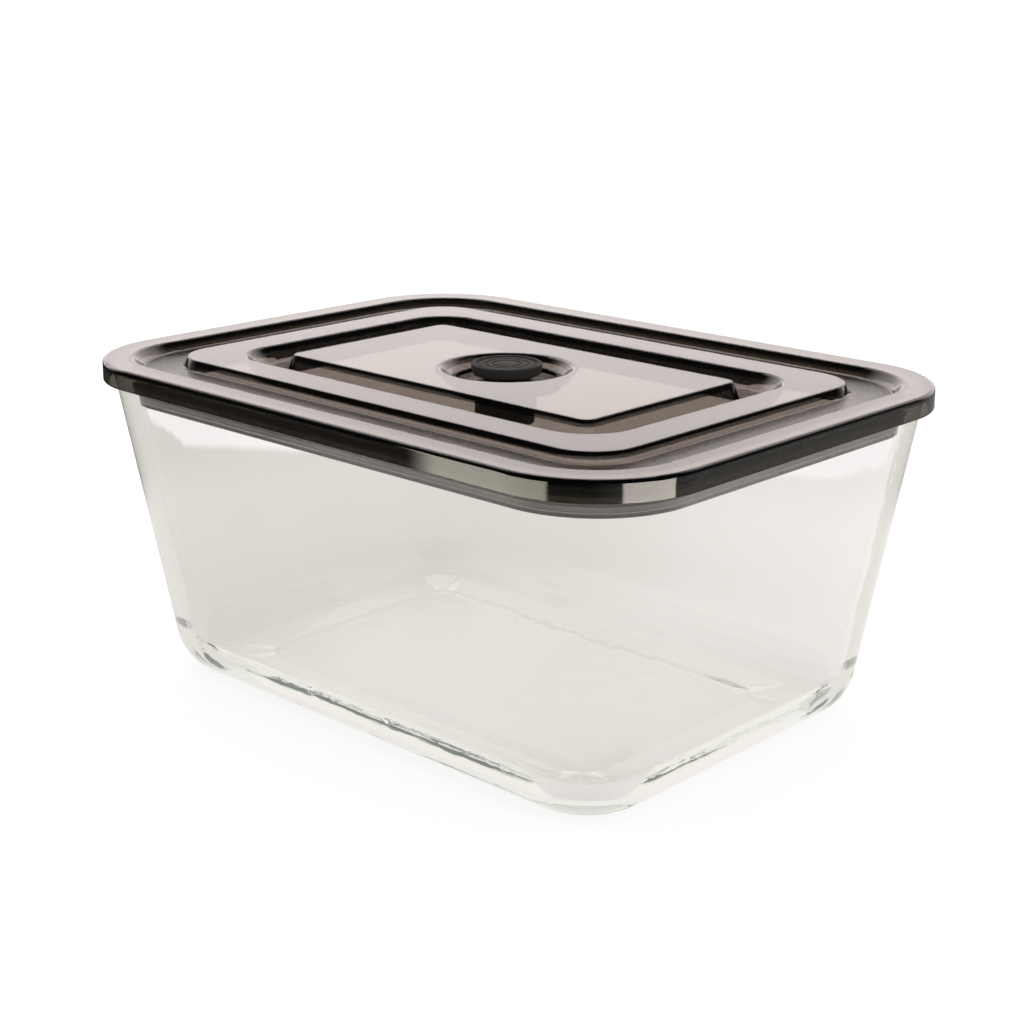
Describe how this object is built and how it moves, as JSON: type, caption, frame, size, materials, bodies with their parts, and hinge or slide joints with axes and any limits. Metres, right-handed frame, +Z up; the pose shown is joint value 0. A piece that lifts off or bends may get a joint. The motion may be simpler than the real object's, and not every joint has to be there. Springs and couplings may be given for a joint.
{
  "type": "vacuum food canister",
  "caption": "Rectangular tapered glass food canister with a smoke-tinted clear lid, a rim gasket and a silicone vacuum valve button in a round recess.",
  "frame": {"origin": "middle of the foot, on the surface that the canister stands on", "axes": "+Z up, +X along the longer side, +Y along the shorter side"},
  "size_m": [0.2518, 0.1888, 0.1176],
  "materials": {
    "clear_glass": "clear pressed glass, polished",
    "smoke_plastic": "smoke-tinted clear plastic, gloss",
    "grey_silicone": "satin translucent grey silicone",
    "black_silicone": "matt black silicone"
  },
  "bodies": {
    "canister": {"glass_tub": "clear_glass"},
    "lid": {"lid_shell": "smoke_plastic", "rim_gasket": "grey_silicone"},
    "valve": {"valve_button": "black_silicone"}
  },
  "joints": [
    {"name": "lid_lift", "type": "slide", "parent": "canister", "child": "lid", "axis": [0, 0, 1], "range_m": [0, 0.06]},
    {"name": "valve_lift", "type": "slide", "parent": "lid", "child": "valve", "axis": [0, 0, 1], "range_m": [0, 0.0025]}
  ]
}
